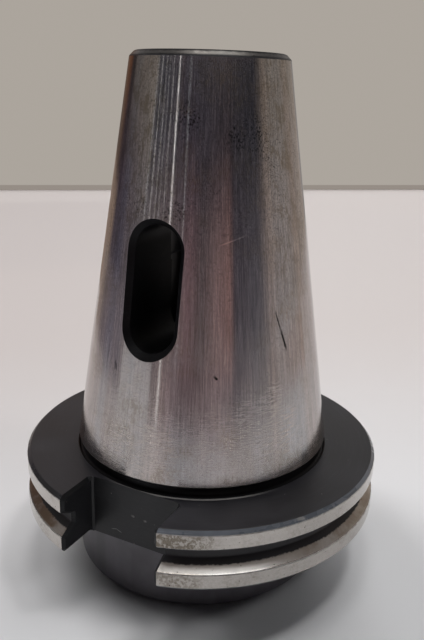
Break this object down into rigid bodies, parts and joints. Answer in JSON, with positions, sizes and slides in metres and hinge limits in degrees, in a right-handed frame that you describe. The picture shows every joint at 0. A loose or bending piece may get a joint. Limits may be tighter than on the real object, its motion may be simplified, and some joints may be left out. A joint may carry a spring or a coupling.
{
  "type": "morse taper adapter",
  "caption": "Steep taper tool holder with a grooved flange and driving slots that adapts a machining spindle to Morse taper shank tools, with a drift window for knocking them out.",
  "frame": {"origin": "centre of the nose face, on which the adapter stands", "axes": "+Z along the axis towards the small end of the steep taper; the driving slots and the drift window face -Y and +Y"},
  "size_m": [0.0984, 0.0946, 0.1365],
  "materials": {
    "ground_steel": "ground taper and rims",
    "black_oxide": "satin black oxide on the flange, the slots and the nose"
  },
  "bodies": {
    "root": {"adapter_body": "ground_steel"}
  },
  "joints": []
}
